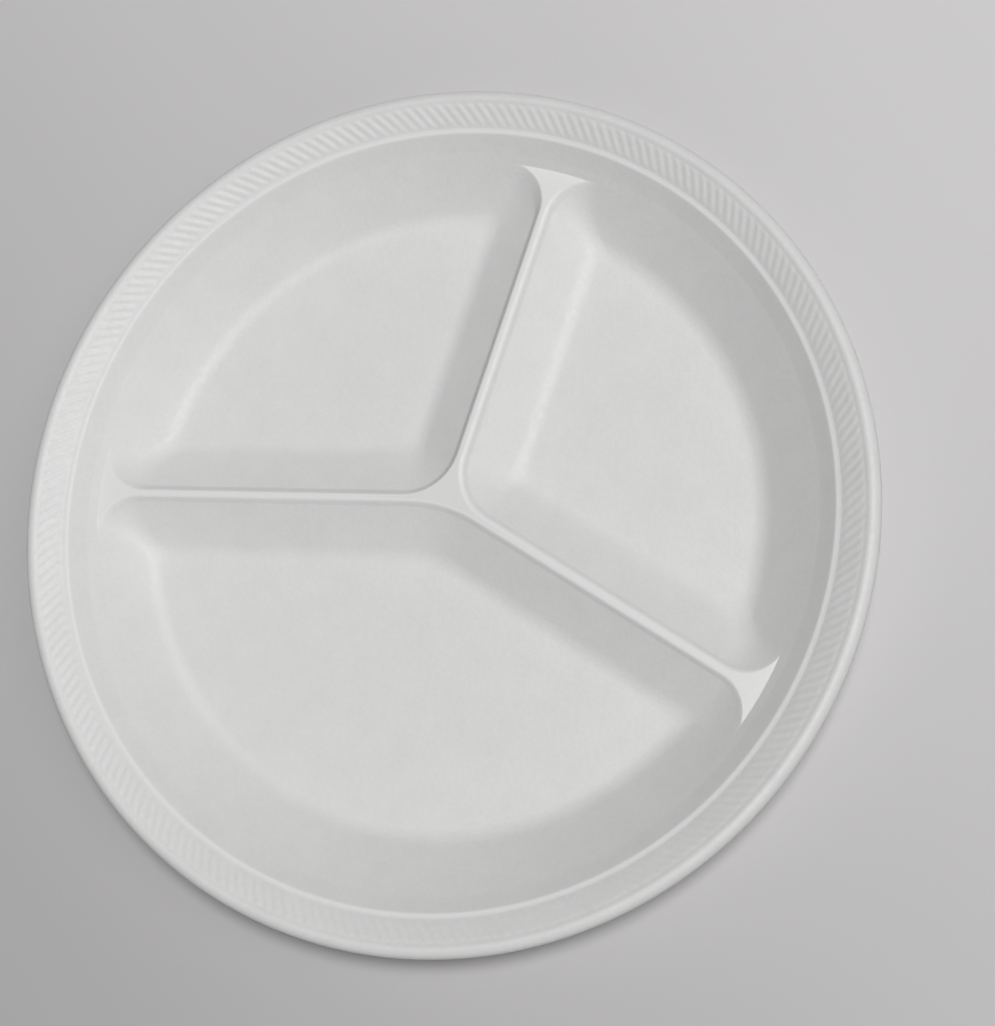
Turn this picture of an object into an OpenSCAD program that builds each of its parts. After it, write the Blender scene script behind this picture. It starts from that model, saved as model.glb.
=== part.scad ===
// Round divided plate with three compartments, moulded from one sheet of foam.
// The sheet is drawn in regions that meet face to face: three wells, the Y-shaped web of the dividers,
// the upper side wall and the rim. Z is up, and the plate stands on its well bottoms at Z = 0.
// Lengths are in millimetres and angles in degrees.

/* [Sheet and bowl] */
// Diameter of the plate over its rolled edge
plate_d = 225; // [190:1:270]
// Thickness of the foam sheet
sheet_t = 2.2; // [1.4:0.1:3.2]
// Height of the rim's inner bead above the well floors
bowl_depth = 13.2; // [10:0.2:20]
// Slope of the side wall and of the divider sides, from level
wall_slope = 33.3; // [28:0.1:42]
// Radius of the bend between floor and walls, which is drawn as one bevel
floor_bend = 9; // [2:0.5:12]

/* [Dividers] */
// Height of the divider crests above the well floors
divider_h = 8.5; // [6:0.1:9.5]
// Width of the crest's flat top
crest_w = 2.2; // [1.6:0.1:4]
// Distance from the plate's axis to the point where the dividers meet
hub_offset = 4.1; // [0:0.1:12]
// Angle from the centre divider to each side divider
divider_turn = 104.75; // [100:0.25:120]
// Radius of the small wells' corners at the hub, at crest height
hub_small_r = 14.5; // [8:0.5:20]
// Radius of the large well's corner at the hub, at crest height
hub_large_r = 37; // [20:1:48]
// Radius of the corners between dividers and side wall, at crest height
tail_r = 10.5; // [7:0.5:14]
// Width of the channel's flat top under the dividers
groove_w = 0.8; // [0.4:0.1:1.6]

/* [Rim] */
// Width of the rim, from the middle of its inner bead to its outer edge
rim_w = 10.4; // [8:0.1:16]
// Slope of the hatched band, from level
band_slope = 21; // [15:0.5:32]
// Radius of the rolled edge
roll_r = 2.35; // [1.8:0.05:3]
// Height of the roll's crown above the line of the band's upper face
roll_proud = 0.05; // [0:0.05:0.4]
// Radius of the inner bead
bead_r = 0.9; // [0.5:0.1:1.4]
// Height of the inner bead above the edge that it covers
bead_proud = 0.45; // [0.2:0.05:0.6]

/* [Hidden] */
// Overshoot of cuts past the faces that they open
cut_over = 0.5;
// Height of the thin slices that a well is drawn through
slice_h = 0.01;
// Seam between the divider web's ends and the side wall
web_seam = 0.05;
// Smallest radius of a well's corners
corner_min = 0.2;
// Length that reaches from the hub past the rim
hub_reach = 2 * plate_d;

// Heights
floor_z = sheet_t;
bead_z = floor_z + bowl_depth;
crest_z = floor_z + divider_h;

// Horizontal run of the sloped walls, and the half width of a divider at the floor
function run(rise) = rise / tan(wall_slope);
divider_foot = crest_w / 2 + run(divider_h);
// Spread of a wall's foot where its face lies deeper in the sheet, and the bevel that stands for its bend
function foot_spread(depth) = depth * tan(wall_slope / 2);
function bevel(depth) = (floor_bend + depth) * (tan(wall_slope / 2) - tan(wall_slope / 4));
// Height at which the wells' outer faces are one channel width apart: the web lies above it
web_z = (divider_foot - foot_spread(sheet_t) - groove_w / 2) * tan(wall_slope);

// Radius of the rim's inner bead, and the radius at which the side wall meets the well floors
bead_radius = plate_d / 2 - rim_w;
floor_r = bead_radius - run(bowl_depth);
// Radius of the side wall's inner face at a height, and the sheet's width along a level cut
function wall_radius(z) = floor_r + run(z - floor_z);
wall_cut = sheet_t / sin(wall_slope);
// Where the undersides of the side wall and the band meet
rim_turn = (wall_slope + band_slope) / 2;
mitre = sheet_t / cos((wall_slope - band_slope) / 2);
mitre_point = [bead_radius + mitre * sin(rim_turn), bead_z - mitre * cos(rim_turn)];
// Centre of the rolled edge, its depth below the band's upper face, and the foot where the band ends on it
roll_sink = roll_r - roll_proud;
roll_radius = plate_d / 2 - roll_r;
roll_z = bead_z + (roll_radius - bead_radius) * tan(band_slope) - roll_sink / cos(band_slope);
band_end = [roll_radius, roll_z] + roll_sink * [-sin(band_slope), cos(band_slope)];

// Directions of the dividers, counter-clockwise from +X: right, centre, left
right_dir = 90 - divider_turn;
centre_dir = 90;
left_dir = 90 + divider_turn;
hub = [0, hub_offset];

// Each well: the divider on its clockwise side, the one on its other side, and its hub corner's radius
small_right = [right_dir, centre_dir, hub_small_r];
small_left = [centre_dir, left_dir, hub_small_r];
large = [left_dir, right_dir + 360, hub_large_r];

$fn = 120;

function unit(dir) = [cos(dir), sin(dir)];
// Radius of a corner where the walls have spread by this much from their feet
function corner_radius(crest_r, spread) = max(crest_r - run(divider_h) + spread, corner_min);

// The angle between a well's two dividers, set back from their centre lines, with a rounded corner
module divider_angle(well, set_back, corner_r) {
    translate(hub)
        offset(r = corner_r)
            offset(delta = -set_back - corner_r)
                polygon([
                    [0, 0],
                    hub_reach * unit(well[0]),
                    2 * hub_reach * unit((well[0] + well[1]) / 2),
                    hub_reach * unit(well[1])
                ]);
}

// A well's outline at the level where its walls have spread by this much from their feet
module well_outline(well, spread) {
    tail = corner_radius(tail_r, spread);
    offset(r = tail)
        offset(delta = -tail)
            intersection() {
                circle(floor_r + spread);
                divider_angle(well, divider_foot - spread, corner_radius(well[2], spread));
            }
}

// A thin slice of a well
module well_slice(well, z, spread) {
    translate([0, 0, z])
        linear_extrude(slice_h)
            well_outline(well, spread);
}

// A well filled up to a level: at depth 0 its room, and at the sheet's thickness the room with its sheet
module well_body(well, depth, top_z) {
    low_z = floor_z - depth;
    foot = foot_spread(depth);
    edge = bevel(depth);
    hull() {
        well_slice(well, low_z, foot - edge);
        well_slice(well, low_z + edge * sin(wall_slope), foot + edge * cos(wall_slope));
        well_slice(well, top_z - slice_h, foot + run(top_z - low_z));
    }
}

// A well's tray of sheet, up to the underside of the web
module well_tray(well) {
    difference() {
        well_body(well, sheet_t, web_z);
        well_body(well, 0, crest_z);
    }
}

module small_well_left() {
    color("whitesmoke")
        well_tray(small_left);
}

module small_well_right() {
    color("whitesmoke")
        well_tray(small_right);
}

module large_well() {
    color("whitesmoke")
        well_tray(large);
}

// The dividers' crests with their hub and their flared ends
module divider_web() {
    color("white")
        difference() {
            rotate_extrude()
                polygon([
                    [0, web_z],
                    [wall_radius(web_z) - web_seam, web_z],
                    [wall_radius(crest_z) - web_seam, crest_z],
                    [0, crest_z]
                ]);
            well_body(small_left, 0, crest_z + cut_over);
            well_body(small_right, 0, crest_z + cut_over);
            well_body(large, 0, crest_z + cut_over);
        }
}

// The side wall from the web's underside to the rim's inner bead
module upper_wall() {
    color("gainsboro")
        rotate_extrude()
            polygon([
                [wall_radius(web_z), web_z],
                [wall_radius(web_z) + wall_cut, web_z],
                mitre_point,
                [bead_radius, bead_z]
            ]);
}

// The rim: inner bead, hatched band and rolled edge
module rim() {
    under = sheet_t * [sin(band_slope), -cos(band_slope)];
    color("white")
        rotate_extrude()
            union() {
                polygon([[bead_radius, bead_z], mitre_point, band_end + under, band_end]);
                translate([roll_radius, roll_z])
                    circle(roll_r);
                intersection() {
                    translate([bead_radius, bead_z + bead_proud - bead_r])
                        circle(bead_r);
                    polygon([
                        mitre_point,
                        band_end,
                        [bead_radius, bead_z + bead_r],
                        [bead_radius - bead_r, bead_z + bead_r],
                        [bead_radius - run(bead_r), bead_z - bead_r],
                        [bead_radius, bead_z]
                    ]);
                }
            }
}

small_well_left();
small_well_right();
large_well();
divider_web();
upper_wall();
rim();
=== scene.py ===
"""Looks of a divided compartment plate: one sheet of white foam with three wells and a hatched, rolled rim.

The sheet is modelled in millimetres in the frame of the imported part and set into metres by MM.
"""

import logging
import math
from collections.abc import Callable
from dataclasses import dataclass, field
from enum import Enum, IntEnum

import bmesh
import bpy
from mathutils import Matrix, Vector

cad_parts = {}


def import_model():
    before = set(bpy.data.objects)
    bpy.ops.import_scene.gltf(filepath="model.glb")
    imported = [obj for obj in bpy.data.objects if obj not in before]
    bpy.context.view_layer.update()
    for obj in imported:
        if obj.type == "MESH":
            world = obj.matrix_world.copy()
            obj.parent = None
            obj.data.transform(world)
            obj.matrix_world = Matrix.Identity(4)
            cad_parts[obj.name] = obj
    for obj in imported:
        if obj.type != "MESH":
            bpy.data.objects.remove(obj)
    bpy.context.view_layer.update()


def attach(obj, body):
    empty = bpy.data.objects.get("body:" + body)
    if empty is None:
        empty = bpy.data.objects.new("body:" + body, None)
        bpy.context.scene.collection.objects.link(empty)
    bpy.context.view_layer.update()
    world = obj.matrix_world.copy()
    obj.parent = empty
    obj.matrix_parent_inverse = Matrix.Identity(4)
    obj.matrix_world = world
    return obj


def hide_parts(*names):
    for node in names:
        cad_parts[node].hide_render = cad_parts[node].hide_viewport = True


LOG = logging.getLogger("divided_plate")
# A millimetre in metres, and the distance in metres within which two points are one
MM = 0.001
SAME_POINT = 1e-6
# Numbers of a Mix node's colour sockets
MIX_FIRST, MIX_SECOND, MIX_RESULT = 6, 7, 2

Colour = tuple[float, float, float]
Span = tuple[float, float]
Ring = list[Vector]


def unit(bearing: float) -> Vector:
    """Gives the plan direction at a bearing in degrees, counter-clockwise from +X."""
    turn = math.radians(bearing)
    return Vector((math.cos(turn), math.sin(turn)))


def bearing_of(point: Vector) -> float:
    """Gives the bearing of a plan point from the plate's axis, in degrees from 0 to 360."""
    return math.degrees(math.atan2(point.y, point.x)) % 360.0


def nearest_turn(bearing: float, aim: float) -> float:
    """Gives a bearing with the whole turns added that bring it nearest to another one."""
    return bearing + 360 * round((aim - bearing) / 360)


def arc(axis: Vector, radius: float, start: float, end: float, steps: int) -> Ring:
    """Draws an arc in a plane.

    Args:
        axis: The arc's centre.
        radius: Its radius.
        start: The bearing of its first point, in degrees.
        end: The bearing of its last point, in degrees.
        steps: The number of chords.

    Returns:
        The arc's points, both ends included.
    """
    return [axis + radius * unit(start + (end - start) * k / steps) for k in range(steps + 1)]


def between(start: Vector, end: Vector, shares: tuple[float, ...]) -> Ring:
    """Gives the points at these shares of the way from one point to another."""
    return [start.lerp(end, share) for share in shares]


@dataclass(frozen=True)
class Corner:
    """A corner of a section line: its place, and the radius and the chords of its round unless it is an end."""

    out: float
    height: float
    radius: float = 0.0
    chords: int = 0

    @property
    def place(self) -> Vector:
        """Gives the corner's place in the plane of the section."""
        return Vector((self.out, self.height))


def rounded_section(corners: list[Corner]) -> Ring:
    """Rounds the corners of a section line.

    Args:
        corners: The line's two ends and the corners between them.

    Returns:
        The points of the rounded line, both ends included.
    """
    points = [corners[0].place]
    for before, corner, after in zip(corners, corners[1:], corners[2:]):
        at = corner.place
        back, ahead = (before.place - at).normalized(), (after.place - at).normalized()
        half = back.angle(ahead) / 2
        axis = at + (back + ahead).normalized() * (corner.radius / math.sin(half))
        first = at + back * (corner.radius / math.tan(half)) - axis
        last = at + ahead * (corner.radius / math.tan(half)) - axis
        sweep = math.pi - 2 * half
        for k in range(corner.chords + 1):
            share = k / corner.chords
            near, far = math.sin((1 - share) * sweep), math.sin(share * sweep)
            points.append(axis + (first * near + last * far) / math.sin(sweep))
    return points + [corners[-1].place]


class SheetFace(Enum):
    """The two faces of the moulded sheet."""

    UPPER = "upper"
    UNDER = "under"


class DividerSide(IntEnum):
    """The side of a divider that a well lies on, looking outwards from the hub."""

    LEFT = 1
    RIGHT = -1


@dataclass(frozen=True)
class PlateSizes:
    """The plate's main sizes in millimetres and degrees, as in the part's source."""

    sheet: float = 2.2
    slope: float = 33.3
    floor_radius: float = 81.996
    bend: float = 9.0
    bend_chords: int = 9
    crest_z: float = 10.7
    crest_half: float = 1.1
    crest_chords: int = 8
    shoulder_bend: float = 1.8
    shoulder_chords: int = 4
    channel_half: float = 0.4
    channel_bend: float = 1.0
    channel_chords: int = 4
    flank_shares: tuple[float, ...] = (0.1, 0.5, 0.9)
    divider_foot: float = 14.04
    hub: tuple[float, float] = (0.0, 4.1)
    hub_least: float = 4.5
    tail_radius: float = 10.5
    tail_least: float = 3.5
    tail_cross: float = 0.4
    tail_fade: float = 4.0

    def run(self, rise: float) -> float:
        """Gives the level run of the side wall over a rise."""
        return rise / math.tan(math.radians(self.slope))


@dataclass(frozen=True)
class Level:
    """A level cut through the wells.

    It holds its height, the half width of the dividers there, the wall's radius and how far past the wall
    the dividers' rounded ends reach.
    """

    z: float
    divider_half: float
    wall_radius: float
    cross: float


@dataclass(frozen=True)
class Shoulder:
    """The steep shoulder under a divider's crest: half widths at its edge and foot, its depth and its round."""

    edge: float
    foot: float
    depth: float
    round: float


@dataclass(frozen=True)
class FaceSection:
    """The section of one face of the sheet, from the well floors to the divider crests."""

    sizes: PlateSizes
    face: SheetFace

    @property
    def depth(self) -> float:
        """Gives how deep below the upper face this face lies."""
        return 0.0 if self.face is SheetFace.UPPER else self.sizes.sheet

    @property
    def floor_z(self) -> float:
        """Gives the height of this face of the well floors."""
        return self.sizes.sheet - self.depth

    @property
    def foot_shift(self) -> float:
        """Gives how far the walls' feet lie outwards on this face."""
        return self.depth * math.tan(math.radians(self.sizes.slope / 2))

    def wall_radius(self, z: float) -> float:
        """Gives the side wall's radius on this face.

        Args:
            z: The height of the level.

        Returns:
            The radius, on the bend at the wall's foot or on the straight wall above it.
        """
        bend = self.sizes.bend + self.depth
        slope = math.radians(self.sizes.slope)
        rise = max(z - self.floor_z, 0.0)
        foot = self.sizes.floor_radius + self.foot_shift
        if rise < bend * (1 - math.cos(slope)):
            return foot - bend * math.tan(slope / 2) + math.sqrt(bend**2 - (bend - rise) ** 2)
        return foot + self.sizes.run(rise)

    def divider_line(self, shoulder: Shoulder) -> Ring:
        """Draws a divider's side on this face.

        Args:
            shoulder: The divider's shoulder on the upper face.

        Returns:
            Half widths and heights from the floor to the crest.
        """
        sizes = self.sizes
        foot = sizes.divider_foot - self.foot_shift
        corners = [
            Corner(2 * foot, self.floor_z),
            Corner(foot, self.floor_z, sizes.bend + self.depth, sizes.bend_chords),
        ]
        if self.face is SheetFace.UPPER:
            shoulder_z = sizes.crest_z - shoulder.depth
            corners += [
                Corner(shoulder.foot, shoulder_z, sizes.shoulder_bend, sizes.shoulder_chords),
                Corner(shoulder.edge, sizes.crest_z, shoulder.round, sizes.crest_chords),
                Corner(0.0, sizes.crest_z),
            ]
        else:
            channel_z = (foot - sizes.channel_half) * math.tan(math.radians(sizes.slope))
            corners += [
                Corner(sizes.channel_half, channel_z, sizes.channel_bend, sizes.channel_chords),
                Corner(0.0, channel_z),
            ]
        line = rounded_section(corners)
        bend_end = sizes.bend_chords + 1
        flank = between(line[bend_end], line[bend_end + 1], sizes.flank_shares)
        return line[1:bend_end + 1] + flank + line[bend_end + 1:-1]

    def cross(self, z: float) -> float:
        """Gives how far past the side wall the dividers' rounded ends reach.

        Args:
            z: The height of the level.

        Returns:
            The reach, which is greatest at the crest of the upper face and fades out below it.
        """
        if self.face is SheetFace.UNDER:
            return 0.0
        share = min(max(1 - (self.sizes.crest_z - z) / self.sizes.tail_fade, 0.0), 1.0)
        return self.sizes.tail_cross * share

    def levels(self, shoulder: Shoulder) -> list[Level]:
        """Gives the levels of this face.

        Args:
            shoulder: The dividers' shoulder on the upper face.

        Returns:
            The levels from the floor's edge up to the crest's edge.
        """
        line = self.divider_line(shoulder)
        return [Level(point.y, point.x, self.wall_radius(point.y), self.cross(point.y)) for point in line]


@dataclass(frozen=True)
class Well:
    """One well, between the dividers on its clockwise side and on its other side."""

    name: str
    start: float
    end: float
    hub_radius: float
    arc_steps: int
    hub_steps: int
    shoulder: Shoulder
    side_steps: int = 24
    tail_steps: int = 12
    tip_steps: int = 6

    @property
    def arc_first(self) -> int:
        """Gives the number of the outline's point where the side wall begins."""
        return self.side_steps + self.tail_steps

    @property
    def arc_last(self) -> int:
        """Gives the number of the outline's point where the side wall ends."""
        return self.arc_first + self.arc_steps

    @property
    def hub_first(self) -> int:
        """Gives the number of the outline's point where the hub's corner begins."""
        return self.arc_last + self.tail_steps + self.side_steps

    def within_wall(self, place: int) -> bool:
        """Says whether a point of the outline lies on the side wall, between its ends."""
        return self.arc_first < place < self.arc_last

    def tail_axis(
        self, level: Level, sizes: PlateSizes, divider: float, side: DividerSide
    ) -> tuple[Vector, float]:
        """Finds the round between a divider and the side wall.

        Args:
            level: The level of the outline.
            sizes: The plate's sizes.
            divider: The divider's bearing.
            side: The side of the divider that the well lies on.

        Returns:
            The round's axis and its radius.
        """
        radius = max(sizes.tail_least, sizes.tail_radius - level.divider_half + sizes.crest_half)
        base = Vector(sizes.hub) + side * (level.divider_half + radius) * unit(divider + 90)
        along = base.dot(unit(divider))
        wall_gap = level.wall_radius + level.cross - radius
        reach = math.sqrt(along**2 - base.length_squared + wall_gap**2)
        return base + (reach - along) * unit(divider), radius

    def tail(self, level: Level, sizes: PlateSizes, divider: float, side: DividerSide) -> Ring:
        """Draws the round between a divider and the side wall.

        Args:
            level: The level of the outline.
            sizes: The plate's sizes.
            divider: The divider's bearing.
            side: The side of the divider that the well lies on.

        Returns:
            The round's points from the divider to the side wall.
        """
        axis, radius = self.tail_axis(level, sizes, divider, side)
        outward = nearest_turn(bearing_of(axis), divider)
        meeting = level.wall_radius**2 - axis.length_squared - radius**2
        short = math.degrees(math.acos(min(meeting / (2 * axis.length * radius), 1.0)))
        return arc(axis, radius, divider - side * 90, outward - side * short, self.tail_steps)

    def outline(self, level: Level, sizes: PlateSizes) -> Ring:
        """Draws the well's outline at a level.

        Args:
            level: The level of the outline.
            sizes: The plate's sizes.

        Returns:
            The outline's points counter-clockwise, from the hub outwards along the first divider.
        """
        half = math.radians(self.end - self.start) / 2
        middle = (self.start + self.end) / 2
        hub_radius = max(sizes.hub_least, self.hub_radius - level.divider_half + sizes.crest_half)
        hub_axis = Vector(sizes.hub) + (level.divider_half + hub_radius) / math.sin(half) * unit(middle)
        hub = arc(hub_axis, hub_radius, self.end + 90, self.start + 270, self.hub_steps)
        near_tail = self.tail(level, sizes, self.start, DividerSide.LEFT)
        far_tail = self.tail(level, sizes, self.end, DividerSide.RIGHT)[::-1]
        near_turn = nearest_turn(bearing_of(near_tail[-1]), self.start)
        far_turn = nearest_turn(bearing_of(far_tail[0]), self.end)
        wall = arc(Vector((0, 0)), level.wall_radius, near_turn, far_turn, self.arc_steps)
        shares = tuple(k / self.side_steps for k in range(self.side_steps))
        points = between(hub[-1], near_tail[0], shares) + near_tail[:-1] + wall[:-1] + far_tail[:-1]
        points += between(far_tail[-1], hub[0], shares) + hub[:-1]
        return [Vector((point.x, point.y, level.z)) for point in points]

    def crest_inset(self, ring: Ring, width: float) -> Ring:
        """Sets the outline back onto the flat of the crest, and not at all along the side wall.

        Args:
            ring: The outline at the crest's edge.
            width: How far the outline moves onto the crest.

        Returns:
            The moved outline.
        """
        moved = []
        for k, point in enumerate(ring):
            off_wall = max(self.arc_first - k, k - self.arc_last, 0)
            course = ring[(k + 1) % len(ring)] - ring[k - 1]
            outward = Vector((course.y, -course.x, 0)).normalized()
            moved.append(point + outward * width * min(off_wall / self.tip_steps, 1.0))
        return moved


class RingModeller:
    """Models a mesh in edit mode: circles are added, shaped to a ring and drawn out from ring to ring."""

    ORDER = "ring_order"
    MARK = "ring_mark"
    # Attribute of the painted highlight: how much lighter the crests and the bead are painted, from 0 to 1
    HIGHLIGHT = "painted_highlight"

    def __init__(self, name: str) -> None:
        """Opens an empty mesh in edit mode.

        Args:
            name: The name of the mesh and its object.
        """
        if bpy.context.mode != "OBJECT":
            bpy.ops.object.mode_set(mode="OBJECT")
        bpy.ops.object.select_all(action="DESELECT")
        bpy.ops.object.add(type="MESH", enter_editmode=True, location=(0, 0, 0))
        self.piece = bpy.context.object
        self.piece.name = name
        self.piece.data.name = name
        bpy.ops.mesh.select_mode(type="VERT")
        mesh = self.mesh
        mesh.verts.layers.int.new(self.ORDER)
        mesh.verts.layers.int.new(self.MARK)
        mesh.verts.layers.float.new(self.HIGHLIGHT)

    @property
    def mesh(self) -> bmesh.types.BMesh:
        """Gives the mesh that is being edited."""
        return bmesh.from_edit_mesh(self.piece.data)

    def place(self, ring: Ring, mark: int = 0, drawn: list[float] | None = None) -> None:
        """Moves the selected points to their places in a ring.

        Args:
            ring: The places, in the ring's order.
            mark: A number that the points are marked with.
            highlight: How strong the painted highlight is at each place, from 0 to 1, where there is one at
                all.
        """
        mesh = self.mesh
        order, marks = mesh.verts.layers.int[self.ORDER], mesh.verts.layers.int[self.MARK]
        highlight_layer = mesh.verts.layers.float[self.HIGHLIGHT]
        for vert in mesh.verts:
            if vert.select:
                vert.co = ring[vert[order]] * MM
                vert[marks] = mark
                # Paints the highlight's strength onto each point
                vert[highlight_layer] = drawn[vert[order]] if drawn else 0.0
        bmesh.update_edit_mesh(self.piece.data)

    def begin(self, ring: Ring, middle: Vector | None = None) -> None:
        """Adds a circle and shapes it to a ring, whose points are left selected.

        Args:
            ring: The places of the circle's points.
            middle: The place of the middle point, where the circle is filled with a fan.
        """
        count = len(ring)
        fill = "NOTHING" if middle is None else "TRIFAN"
        bpy.ops.mesh.primitive_circle_add(vertices=count, radius=ring[0].length * MM, fill_type=fill)
        mesh = self.mesh
        order = mesh.verts.layers.int[self.ORDER]
        for vert in mesh.verts:
            if vert.select and vert.co.length > SAME_POINT:
                turn = math.atan2(-vert.co.x, vert.co.y) % math.tau
                vert[order] = round(turn * count / math.tau) % count
            elif vert.select:
                vert.co = middle * MM
        if middle is not None:
            bmesh.update_edit_mesh(self.piece.data)
            bpy.ops.mesh.region_to_loop()
        self.place(ring)

    def draw_out(self, ring: Ring, drawn: list[float] | None = None) -> None:
        """Extrudes the selected loop and moves the new points to a ring.

        Args:
            ring: The places of the new points.
            highlight: How strong the painted highlight is at each place, from 0 to 1, where there is one at
                all.
        """
        bpy.ops.mesh.extrude_edges_indiv()
        self.place(ring, drawn=drawn)

    def select_where(self, wanted: Callable[[int, int], bool]) -> Ring:
        """Selects points by their marks and their places in their rings, and nothing else.

        Args:
            wanted: Says whether a mark and a place are wanted.

        Returns:
            The selected points, in millimetres.
        """
        bpy.ops.mesh.select_all(action="DESELECT")
        mesh = self.mesh
        order, marks = mesh.verts.layers.int[self.ORDER], mesh.verts.layers.int[self.MARK]
        chosen = [vert for vert in mesh.verts if wanted(vert[marks], vert[order])]
        for vert in chosen:
            vert.select = True
        mesh.select_flush(True)
        bmesh.update_edit_mesh(self.piece.data)
        return [vert.co / MM for vert in chosen]

    def bow_out(self, radius: float, mark: int) -> None:
        """Moves the selected points that lie inside a radius out to it.

        Args:
            radius: The radius round the plate's axis.
            mark: A number that the moved points are marked with.
        """
        mesh = self.mesh
        marks = mesh.verts.layers.int[self.MARK]
        for vert in mesh.verts:
            if vert.select and vert.co.xy.length < radius * MM - SAME_POINT:
                vert.co.xy = vert.co.xy.normalized() * radius * MM
                vert[marks] = mark
        bmesh.update_edit_mesh(self.piece.data)

    def order_by_bearing(self) -> list[float]:
        """Numbers the selected points by their bearings.

        Returns:
            The bearings in order.
        """
        mesh = self.mesh
        order = mesh.verts.layers.int[self.ORDER]
        ring = sorted((vert for vert in mesh.verts if vert.select), key=lambda vert: bearing_of(vert.co))
        for place, vert in enumerate(ring):
            vert[order] = place
        return [bearing_of(vert.co) for vert in ring]

    def close(self) -> bpy.types.Object:
        """Leaves edit mode and gives the piece."""
        bpy.ops.object.mode_set(mode="OBJECT")
        return self.piece


@dataclass
class MouldedBowl:
    """One face of the bowl: its wells, the Y-shaped crest of its dividers and the side wall above them."""

    sizes: PlateSizes
    face: SheetFace
    wall_top: float
    floor_shares: tuple[float, ...] = (0.2, 0.4, 0.6, 0.8, 0.96)
    crest_flat: float = 0.25
    # The painted highlight on the crests fades out this far below them, and down to this share at the hub
    highlight_depth: float = 0.5
    hub_highlight: float = 0.2
    hub_fade: int = 4
    gap_steps: int = 8
    wall_shares: tuple[float, ...] = (0.25, 0.65, 1.0)
    wells: tuple[Well, ...] = (
        Well(
            "small_right", start=-14.75, end=90.0, hub_radius=14.5, arc_steps=60, hub_steps=12,
            shoulder=Shoulder(edge=1.3, foot=2.4, depth=1.35, round=2.0),
        ),
        Well(
            "small_left", start=90.0, end=194.75, hub_radius=14.5, arc_steps=60, hub_steps=12,
            shoulder=Shoulder(edge=0.75, foot=2.25, depth=2.3, round=0.75),
        ),
        Well(
            "large", start=194.75, end=345.25, hub_radius=37.0, arc_steps=96, hub_steps=16,
            shoulder=Shoulder(edge=0.95, foot=2.15, depth=1.2, round=1.2),
        ),
    )

    @property
    def gap_mark(self) -> int:
        """Gives the mark of the points along the dividers' ends."""
        return len(self.wells) + 1

    def build(self) -> bpy.types.Object:
        """Models the face of the bowl.

        Returns:
            The face as a mesh, open at the top of the side wall.
        """
        section = FaceSection(self.sizes, self.face)
        modeller = RingModeller(f"bowl_{self.face.value}")
        for number, well in enumerate(self.wells, start=1):
            self.build_well(modeller, section, well, number)
        self.build_crest(modeller)
        self.build_wall(modeller, section)
        return modeller.close()

    def build_well(self, modeller: RingModeller, section: FaceSection, well: Well, number: int) -> None:
        """Models a well from the middle of its floor up to the crest.

        Args:
            modeller: The mesh that the well goes into.
            section: The section of this face.
            well: The well.
            number: The mark of the well's last ring.
        """
        levels = section.levels(well.shoulder)
        floor = well.outline(levels[0], self.sizes)
        middle = sum(floor, Vector((0, 0, 0))) / len(floor)
        shrunk = [[middle.lerp(point, share) for point in floor] for share in self.floor_shares]
        modeller.begin(shrunk[0], middle)
        for ring in shrunk[1:] + [floor]:
            modeller.draw_out(ring)
        for level in levels[1:]:
            ring = well.outline(level, self.sizes)
            modeller.draw_out(ring, self.drawn(well, level, len(ring)))
        if self.face is SheetFace.UPPER:
            ring = well.crest_inset(ring, self.crest_flat)
            modeller.draw_out(ring)
            modeller.place(ring, number, self.highlight_flat(well, len(ring)))
        else:
            modeller.place(ring, number)
        LOG.info("%s well, %s face: %d levels", well.name, self.face.value, len(levels))

    def drawn(self, well: Well, level: Level, count: int) -> list[float]:
        """Says how strong the painted highlight is round a well at a level.

        Args:
            well: The well.
            level: The level.
            count: The number of points in the well's outline.

        Returns:
            For each point, 1 at the crest of the upper face, less down to 0 below it, and 0 on the side wall.
        """
        share = 0.0
        if self.face is SheetFace.UPPER:
            share = max(1 - (self.sizes.crest_z - level.z) / self.highlight_depth, 0.0)
        return [0.0 if well.within_wall(k) else share for k in range(count)]

    def highlight_flat(self, well: Well, count: int) -> list[float]:
        """Says how strong the painted highlight is round a well on the crest's flat.

        Args:
            well: The well.
            count: The number of points in the well's outline.

        Returns:
            For each point, 1 along the dividers, less down to hub_highlight at the hub, and 0 on the side wall.
        """
        shares = []
        for k in range(count):
            from_hub = min(k, max(well.hub_first - k, 0), self.hub_fade) / self.hub_fade
            on_divider = self.hub_highlight + (1 - self.hub_highlight) * from_hub
            shares.append(0.0 if well.within_wall(k) else on_divider)
        return shares

    def on_wall(self, mark: int, place: int) -> bool:
        """Says whether a point lies on the side wall at the crest's level, the dividers' ends included.

        Args:
            mark: The point's mark.
            place: The point's place in its ring.

        Returns:
            Whether it lies there.
        """
        if not 0 < mark <= len(self.wells):
            return mark == self.gap_mark
        return self.wells[mark - 1].arc_first <= place <= self.wells[mark - 1].arc_last

    def on_crest(self, mark: int, place: int) -> bool:
        """Says whether a point lies on the edge of the Y-shaped crest.

        Args:
            mark: The point's mark.
            place: The point's place in its ring.

        Returns:
            Whether it lies there.
        """
        if not 0 < mark <= len(self.wells):
            return mark == self.gap_mark
        return not self.wells[mark - 1].within_wall(place)

    def build_crest(self, modeller: RingModeller) -> None:
        """Closes the dividers' ends along the side wall and fills the Y-shaped crest.

        Args:
            modeller: The mesh of this face.
        """
        for number, well in enumerate(self.wells, start=1):
            following = number % len(self.wells)
            tips = {(number, well.arc_last), (following + 1, self.wells[following].arc_first)}
            ends = modeller.select_where(lambda mark, place: (mark, place) in tips)
            bpy.ops.mesh.edge_face_add()
            bpy.ops.mesh.subdivide(number_cuts=self.gap_steps - 1)
            modeller.bow_out(ends[0].xy.length, self.gap_mark)
        modeller.select_where(self.on_crest)
        bpy.ops.mesh.edge_face_add()

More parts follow.
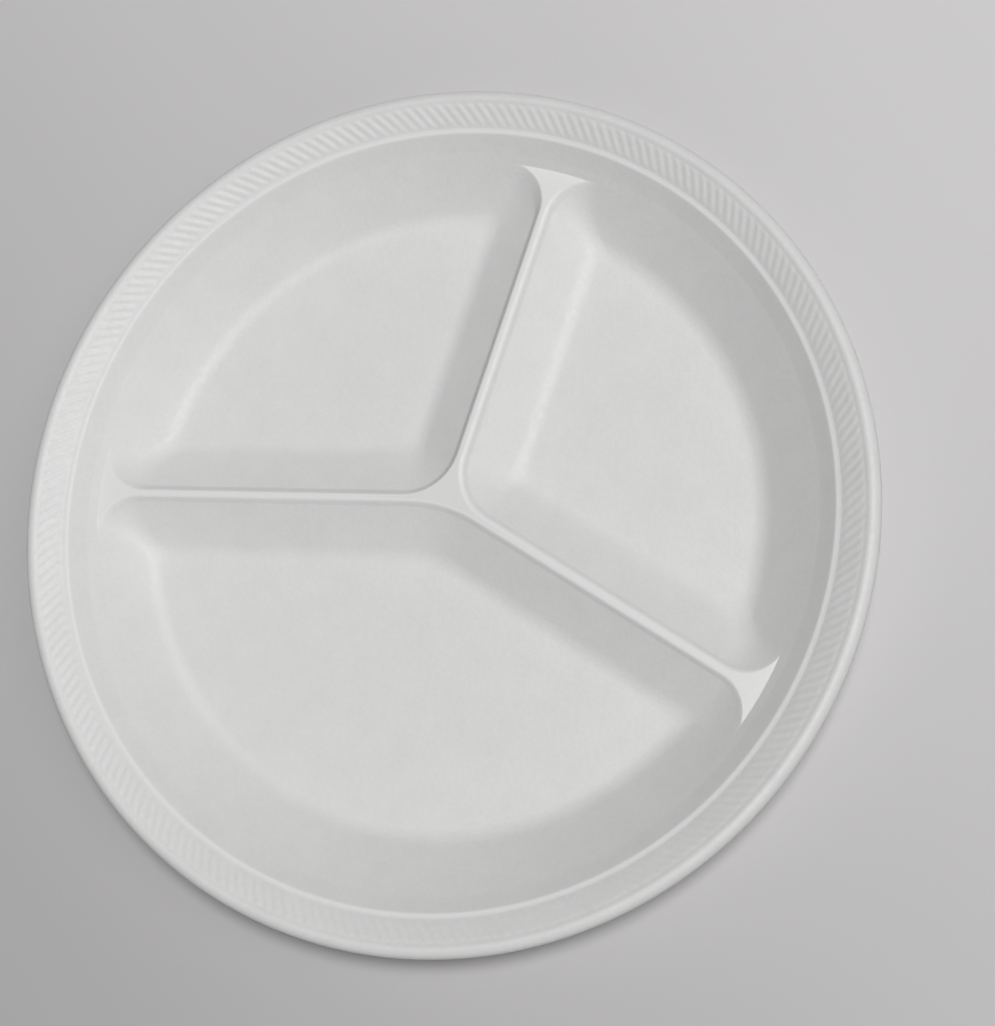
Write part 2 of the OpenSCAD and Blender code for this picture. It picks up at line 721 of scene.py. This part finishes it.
    def build_wall(self, modeller: RingModeller, section: FaceSection) -> None:
        """Draws the side wall up from the crest's level, and spaces its points evenly on the way.

        Args:
            modeller: The mesh of this face.
            section: The section of this face.
        """
        foot = modeller.select_where(self.on_wall)[0].z
        bearings = modeller.order_by_bearing()
        step = 360.0 / len(bearings)
        shift = sum(bearing - step * k for k, bearing in enumerate(bearings)) / len(bearings)
        for share in self.wall_shares:
            z = foot + (self.wall_top - foot) * share
            radius = section.wall_radius(z)
            places = []
            for k, bearing in enumerate(bearings):
                at = radius * unit(bearing + (shift + step * k - bearing) * share)
                places.append(Vector((at.x, at.y, z)))
            modeller.draw_out(places)


@dataclass
class Rim:
    """The plate's rim: its inner bead, the band with slanting ribs and the rolled edge.

    The corners of its section are radii and heights, on the upper face up to band_end and on the underside
    from lip_turn inwards.
    """

    wall_foot: Corner = Corner(96.5, 11.721)
    wall_turn: Corner = Corner(97.2, 12.181, radius=6.0, chords=3)
    bead_crown: Corner = Corner(101.35, 15.313, radius=1.3, chords=8)
    bead_foot: Corner = Corner(102.65, 15.5, radius=0.5, chords=4)
    band_end: Corner = Corner(108.853, 17.949)
    lip_turn: Corner = Corner(107.791, 15.228, radius=0.5, chords=3)
    band_under: Corner = Corner(103.11, 13.431, radius=4.0, chords=2)
    wall_under: Corner = Corner(101.61, 12.446)
    wall_shares: tuple[float, ...] = (0.3, 0.7, 0.95)
    band_shares: tuple[float, ...] = (0.04, 0.1, 0.22, 0.36, 0.5, 0.64, 0.78, 0.9, 0.96)
    roll_axis: tuple[float, float] = (110.15, 16.026)
    roll_radius: float = 2.32
    roll_span: Span = (124.0, -140.0)
    roll_steps: int = 20
    # Middle and half width of the painted highlight along the bead
    bead_radius: float = 101.7
    bead_half: float = 0.9
    band_slope: float = 21.6
    ribs: int = 240
    columns: int = 4
    rib_height: float = 0.19
    rib_slant: float = 0.43
    rib_start: float = 103.15
    rib_end: float = 108.65
    rib_fade: float = 0.45

    def section(self) -> Ring:
        """Draws the rim's section.

        Returns:
            Radii and heights from the side wall over the roll to the underside.
        """
        upper = rounded_section(
            [self.wall_foot, self.wall_turn, self.bead_crown, self.bead_foot, self.band_end]
        )
        wall_start = self.wall_turn.chords + 1
        wall = between(upper[wall_start], upper[wall_start + 1], self.wall_shares)
        band = between(upper[-2], upper[-1], self.band_shares)
        roll = arc(Vector(self.roll_axis), self.roll_radius, *self.roll_span, self.roll_steps)
        roll_end = Corner(roll[-1].x, roll[-1].y)
        under = rounded_section([roll_end, self.lip_turn, self.band_under, self.wall_under])
        return upper[:wall_start + 1] + wall + upper[wall_start + 1:-1] + band + roll + under[1:]

    def ring(self, point: Vector, on_band: bool) -> Ring:
        """Places a ring of the rim.

        Args:
            point: The section's point, as a radius and a height.
            on_band: Whether the ring lies on the upper face, where the ribs are.

        Returns:
            The ring's places.
        """
        count = self.ribs * self.columns
        reach = min(max(point.x, self.rib_start), self.rib_end) if on_band else self.rib_end
        slant = self.rib_slant * (reach - self.rib_start)
        depth = min(point.x - self.rib_start, self.rib_end - point.x) / self.rib_fade
        lift = self.rib_height * min(max(depth, 0.0), 1.0) if on_band else 0.0
        slope = math.radians(self.band_slope)
        places = []
        for k in range(count):
            rise = lift * (0.5 + 0.5 * math.cos(math.tau * k / self.columns))
            at = (point.x - rise * math.sin(slope)) * unit(360.0 * k / count + slant)
            places.append(Vector((at.x, at.y, point.y + rise * math.cos(slope))))
        return places

    def drawn(self, point: Vector) -> float:
        """Says how strong the painted highlight is over the bead.

        Args:
            point: A point of the section's upper face, as a radius and a height.

        Returns:
            1 at the middle of the bead, and less down to 0 beside it.
        """
        return max(1 - abs(point.x - self.bead_radius) / self.bead_half, 0.0)

    def build(self) -> bpy.types.Object:
        """Models the rim.

        Returns:
            The rim as a mesh, open at its two inner edges.
        """
        modeller = RingModeller("rim_face")
        section = self.section()
        crown = max(range(len(section)), key=lambda k: section[k].y)
        for k, point in enumerate(section):
            ring = self.ring(point, k < crown)
            if k:
                # Paints the highlight over the bead on the upper face
                modeller.draw_out(ring, [self.drawn(point) if k < crown else 0.0] * len(ring))
            else:
                modeller.begin(ring)
        return modeller.close()


def add_node(tree: bpy.types.NodeTree, kind: str, **values: object) -> bpy.types.Node:
    """Adds a node to a tree.

    Args:
        tree: The node tree.
        kind: The node's type.
        **values: The node's settings, and its inputs' values by name with underscores for spaces.

    Returns:
        The node.
    """
    node = tree.nodes.new(kind)
    for name, value in values.items():
        if hasattr(node, name):
            setattr(node, name, value)
        else:
            node.inputs[name.replace("_", " ")].default_value = value
    return node


def map_span(
    tree: bpy.types.NodeTree,
    value: bpy.types.NodeSocket,
    source: Span,
    target: Span = (0.0, 1.0),
    course: str = "LINEAR",
) -> bpy.types.NodeSocket:
    """Maps a value from one span to another.

    Args:
        tree: The node tree.
        value: The socket that gives the value.
        source: The span that the value is taken from.
        target: The span that it is brought to.
        course: How it goes from one end to the other.

    Returns:
        The socket that gives the mapped value.
    """
    node = add_node(
        tree, "ShaderNodeMapRange", interpolation_type=course,
        From_Min=source[0], From_Max=source[1], To_Min=target[0], To_Max=target[1],
    )
    tree.links.new(value, node.inputs["Value"])
    return node.outputs["Result"]


def add_weighed(
    tree: bpy.types.NodeTree, value: bpy.types.NodeSocket, weight: float, other: bpy.types.NodeSocket
) -> bpy.types.NodeSocket:
    """Adds a weighed value to another one.

    Args:
        tree: The node tree.
        value: The socket that gives the value.
        weight: The value's weight.
        other: The socket that gives the other value.

    Returns:
        The socket that gives the sum.
    """
    node = add_node(tree, "ShaderNodeMath", operation="MULTIPLY_ADD")
    tree.links.new(value, node.inputs[0])
    node.inputs[1].default_value = weight
    tree.links.new(other, node.inputs[2])
    return node.outputs["Value"]


def mix_colours(
    tree: bpy.types.NodeTree,
    share: bpy.types.NodeSocket,
    first: Colour | bpy.types.NodeSocket,
    second: Colour,
) -> bpy.types.NodeSocket:
    """Mixes two colours.

    Args:
        tree: The node tree.
        share: The socket that gives the second colour's share.
        first: The first colour, or the socket that gives it.
        second: The second colour.

    Returns:
        The socket that gives the mixed colour.
    """
    node = add_node(tree, "ShaderNodeMix", data_type="RGBA")
    tree.links.new(share, node.inputs["Factor"])
    if isinstance(first, bpy.types.NodeSocket):
        tree.links.new(first, node.inputs[MIX_FIRST])
    else:
        node.inputs[MIX_FIRST].default_value = (*first, 1.0)
    node.inputs[MIX_SECOND].default_value = (*second, 1.0)
    return node.outputs[MIX_RESULT]


@dataclass(frozen=True)
class FoamFinish:
    """Satin white foam: fine closed cells show through its skin, and a painted highlight makes the crests and
    the bead lighter.
    """

    name: str = "satin_white_foam"
    tone: Colour = (0.775, 0.775, 0.77)
    cell_tone: Colour = (0.735, 0.735, 0.73)
    # Painted highlight: the lighter tone on the crests and the bead
    highlight_tone: Colour = (0.815, 0.815, 0.81)
    cell_scale: float = 950.0
    cell_blend: float = 0.6
    cell_span: Span = (0.2, 0.75)
    cell_weight: float = 0.45
    grain_scale: float = 665.0
    grain_detail: float = 3.0
    grain_weight: float = 0.5
    cloud_scale: float = 120.0
    cloud_detail: float = 2.0
    cloud_weight: float = 0.55
    noise_span: Span = (0.3, 0.7)
    roughness: Span = (0.49, 0.59)
    relief: float = 0.00006
    relief_strength: float = 0.5
    ior: float = 1.59

    def material(self) -> bpy.types.Material:
        """Makes the foam's material.

        Returns:
            The material, with its cells in the plate's own coordinates.
        """
        material = bpy.data.materials.new(self.name)
        material.use_nodes = True
        tree = material.node_tree
        cells = add_node(
            tree, "ShaderNodeTexVoronoi", feature="SMOOTH_F1", Scale=self.cell_scale, Smoothness=self.cell_blend
        )
        grain = add_node(tree, "ShaderNodeTexNoise", Scale=self.grain_scale, Detail=self.grain_detail)
        clouds = add_node(tree, "ShaderNodeTexNoise", Scale=self.cloud_scale, Detail=self.cloud_detail)
        place = add_node(tree, "ShaderNodeTexCoord").outputs["Object"]
        for texture in (cells, grain, clouds):
            tree.links.new(place, texture.inputs["Vector"])
        cell, speck, cloud = cells.outputs["Distance"], grain.outputs["Fac"], clouds.outputs["Fac"]
        satin = map_span(tree, speck, self.noise_span, self.roughness)
        shader = tree.nodes["Principled BSDF"]
        shader.inputs["IOR"].default_value = self.ior
        tree.links.new(self.colour(tree, cell, cloud), shader.inputs["Base Color"])
        tree.links.new(satin, shader.inputs["Roughness"])
        tree.links.new(self.bump(tree, cell, speck), shader.inputs["Normal"])
        return material

    def colour(
        self, tree: bpy.types.NodeTree, cell: bpy.types.NodeSocket, cloud: bpy.types.NodeSocket
    ) -> bpy.types.NodeSocket:
        """Colours the skin by its cells and its clouds, and paints a highlight on the crests and the bead.

        Args:
            tree: The material's node tree.
            cell: The socket that gives the distance from a cell's middle.
            cloud: The socket that gives the clouds.

        Returns:
            The socket that gives the colour.
        """
        spots = map_span(tree, cell, self.cell_span)
        drift = map_span(tree, cloud, self.noise_span, (0.0, self.cloud_weight))
        shade = add_weighed(tree, spots, self.cell_weight, drift)
        foam = mix_colours(tree, shade, self.tone, self.cell_tone)
        # Painted highlight on the crests and the bead, read from the mesh's attribute
        highlight_attribute = add_node(tree, "ShaderNodeAttribute", attribute_name=RingModeller.HIGHLIGHT)
        return mix_colours(tree, highlight_attribute.outputs["Fac"], foam, self.highlight_tone)

    def bump(
        self, tree: bpy.types.NodeTree, cell: bpy.types.NodeSocket, speck: bpy.types.NodeSocket
    ) -> bpy.types.NodeSocket:
        """Roughens the skin by its cells and its grain.

        Args:
            tree: The material's node tree.
            cell: The socket that gives the distance from a cell's middle.
            speck: The socket that gives the grain.

        Returns:
            The socket that gives the normal.
        """
        height = add_weighed(tree, speck, self.grain_weight, cell)
        bump = add_node(tree, "ShaderNodeBump", Strength=self.relief_strength, Distance=self.relief)
        tree.links.new(height, bump.inputs["Height"])
        return bump.outputs["Normal"]


@dataclass(frozen=True)
class FloorFinish:
    """A pale grey floor with painted light and shade: darker towards one side as a painted shadow, and lighter
    towards the other as painted light.
    """

    name: str = "pale_floor"
    # Painted shade on the floor's dark side, and painted light on its bright side
    tone: Colour = (0.42, 0.413, 0.413)
    painted_light_tone: Colour = (0.765, 0.751, 0.753)
    painted_light_side: tuple[float, float, float] = (0.5, 0.866, 0.0)
    reach: float = 0.3
    roughness: float = 0.7

    def material(self) -> bpy.types.Material:
        """Makes the floor's material.

        Returns:
            The material, whose tone rises softly from painted shade on one side to painted light on the other.
        """
        material = bpy.data.materials.new(self.name)
        material.use_nodes = True
        tree = material.node_tree
        place = add_node(tree, "ShaderNodeTexCoord").outputs["Object"]
        # Painted light and shade: the floor grows lighter along one direction
        along = add_node(tree, "ShaderNodeVectorMath", operation="DOT_PRODUCT")
        tree.links.new(place, along.inputs[0])
        along.inputs[1].default_value = self.painted_light_side
        share = map_span(tree, along.outputs["Value"], (-self.reach, self.reach), course="SMOOTHSTEP")
        colour = mix_colours(tree, share, self.tone, self.painted_light_tone)
        shader = tree.nodes["Principled BSDF"]
        shader.inputs["Roughness"].default_value = self.roughness
        tree.links.new(colour, shader.inputs["Base Color"])
        return material


@dataclass
class Plate:
    """The whole plate: both faces of its bowl and its rim, as one closed sheet."""

    sizes: PlateSizes = field(default_factory=PlateSizes)
    rim: Rim = field(default_factory=Rim)
    finish: FoamFinish = field(default_factory=FoamFinish)
    name: str = "plate_sheet"
    upper_top: float = 11.5
    under_top: float = 11.9
    seam_split: float = 98.5
    crease: float = 30.0
    nodes: tuple[str, ...] = (
        "small_well_left", "small_well_right", "large_well", "divider_web", "upper_wall", "rim",
    )

    def build(self) -> bpy.types.Object:
        """Models the plate and joins it to its body.

        Returns:
            The plate's sheet.
        """
        faces = [
            MouldedBowl(self.sizes, SheetFace.UPPER, self.upper_top).build(),
            MouldedBowl(self.sizes, SheetFace.UNDER, self.under_top).build(),
            self.rim.build(),
        ]
        bpy.ops.object.select_all(action="DESELECT")
        for face in faces:
            face.select_set(True)
        bpy.context.view_layer.objects.active = faces[0]
        bpy.ops.object.join()
        sheet = bpy.context.object
        sheet.name = sheet.data.name = self.name
        self.close_sheet(sheet)
        self.dress(sheet)
        return sheet

    def close_sheet(self, sheet: bpy.types.Object) -> None:
        """Bridges the bowl to the rim on both faces and turns all faces outwards.

        Args:
            sheet: The sheet, with its two faces and its rim still apart.
        """
        bpy.ops.object.mode_set(mode="EDIT")
        bpy.ops.mesh.select_mode(type="VERT")
        bpy.ops.mesh.select_all(action="SELECT")
        bpy.ops.mesh.remove_doubles(threshold=SAME_POINT)
        for upper in (True, False):
            bpy.ops.mesh.select_all(action="DESELECT")
            bpy.ops.mesh.select_mode(type="EDGE")
            mesh = bmesh.from_edit_mesh(sheet.data)
            for edge in mesh.edges:
                inside = edge.verts[0].co.xy.length < self.seam_split * MM
                edge.select_set(edge.is_boundary and inside == upper)
            bmesh.update_edit_mesh(sheet.data)
            bpy.ops.mesh.bridge_edge_loops()
        bpy.ops.mesh.select_all(action="SELECT")
        bpy.ops.mesh.normals_make_consistent(inside=False)
        bpy.ops.object.mode_set(mode="OBJECT")
        bpy.ops.object.shade_smooth_by_angle(angle=math.radians(self.crease))

    def dress(self, sheet: bpy.types.Object) -> None:
        """Gives the sheet its finish, joins it to the root body and hides the imported nodes that it takes the
        place of.

        Args:
            sheet: The closed sheet.
        """
        for layer in (RingModeller.ORDER, RingModeller.MARK):
            attribute = sheet.data.attributes.get(layer)
            if attribute:
                sheet.data.attributes.remove(attribute)
        sheet.data.materials.clear()
        sheet.data.materials.append(self.finish.material())
        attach(sheet, "root")
        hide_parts(*self.nodes)


@dataclass(frozen=True)
class BroadLight:
    """A broad light from far away: its tilt from upright, its bearing and its breadth are in degrees."""

    name: str
    tilt: float
    bearing: float
    strength: float
    breadth: float

    def hang(self) -> None:
        """Adds the light to the scene."""
        tilt = math.radians(self.tilt)
        level = unit(self.bearing) * math.sin(tilt)
        sun = bpy.data.lights.new(self.name, "SUN")
        sun.energy = self.strength
        sun.angle = math.radians(self.breadth)
        lamp = bpy.data.objects.new(self.name, sun)
        lamp.rotation_euler = Vector((level.x, level.y, math.cos(tilt))).to_track_quat("Z", "Y").to_euler()
        bpy.context.scene.collection.objects.link(lamp)


@dataclass
class Studio:
    """The pale floor, the soft light and the camera, whose place is in millimetres."""

    floor_finish: FloorFinish = field(default_factory=FloorFinish)
    floor_size: float = 8.0
    lights: tuple[BroadLight, ...] = (
        BroadLight("main_light", tilt=14.5, bearing=31.0, strength=2.23, breadth=22.0),
        BroadLight("side_light", tilt=40.0, bearing=22.0, strength=0.3, breadth=30.0),
        BroadLight("low_fill", tilt=62.0, bearing=284.0, strength=0.27, breadth=50.0),
    )
    backdrop: Colour = (0.56, 0.55, 0.55)
    ambient_tone: Colour = (1.0, 1.0, 1.0)
    ambient: float = 0.01
    camera_place: tuple[float, float, float] = (180.1, -64.7, 541.8)
    camera_right: tuple[float, float, float] = (0.91691, 0.31520, -0.24481)
    camera_up: tuple[float, float, float] = (-0.26858, 0.94104, 0.20568)
    focal_pixels: float = 2200.0
    image_height: float = 1026.0
    sensor: float = 36.0

    def build(self) -> None:
        """Sets up the floor, the light and the camera."""
        bpy.context.scene.view_settings.view_transform = "Standard"
        self.add_floor()
        for light in self.lights:
            light.hang()
        self.add_world()
        self.add_camera()

    def add_floor(self) -> None:
        """Lays the floor under the plate."""
        bpy.ops.object.select_all(action="DESELECT")
        bpy.ops.mesh.primitive_plane_add(size=self.floor_size, location=(0, 0, 0))
        floor = bpy.context.object
        floor.name = "studio_floor"
        floor.data.materials.append(self.floor_finish.material())

    def add_world(self) -> None:
        """Makes the surroundings: a little even light, and a pale backdrop where the camera sees them."""
        world = bpy.data.worlds.new("studio")
        world.use_nodes = True
        tree = world.node_tree
        seen = tree.nodes["Background"]
        seen.inputs["Color"].default_value = (*self.backdrop, 1.0)
        even = add_node(
            tree, "ShaderNodeBackground", Color=(*self.ambient_tone, 1.0), Strength=self.ambient
        )
        path = add_node(tree, "ShaderNodeLightPath")
        mix = add_node(tree, "ShaderNodeMixShader")
        tree.links.new(path.outputs["Is Camera Ray"], mix.inputs["Fac"])
        tree.links.new(even.outputs["Background"], mix.inputs[1])
        tree.links.new(seen.outputs["Background"], mix.inputs[2])
        tree.links.new(mix.outputs["Shader"], tree.nodes["World Output"].inputs["Surface"])
        bpy.context.scene.world = world

    def add_camera(self) -> None:
        """Sets the camera at the photograph's viewing angle."""
        camera = bpy.data.cameras.new("plate_camera")
        camera.sensor_fit = "VERTICAL"
        camera.sensor_height = self.sensor
        camera.lens = self.focal_pixels / self.image_height * self.sensor
        right, up = Vector(self.camera_right), Vector(self.camera_up)
        axes = Matrix((right, up, right.cross(up))).transposed().to_4x4()
        camera_object = bpy.data.objects.new("plate_camera", camera)
        camera_object.matrix_world = Matrix.Translation(Vector(self.camera_place) * MM) @ axes
        bpy.context.scene.collection.objects.link(camera_object)
        bpy.context.scene.camera = camera_object


def main() -> None:
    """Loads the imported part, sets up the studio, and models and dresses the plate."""
    logging.basicConfig(level=logging.INFO, format="%(name)s: %(message)s")
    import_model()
    Studio().build()
    sheet = Plate().build()
    triangles = sum(len(polygon.vertices) - 2 for polygon in sheet.data.polygons)
    LOG.info("%s: %d triangles", sheet.name, triangles)


if __name__ == "__main__":
    main()
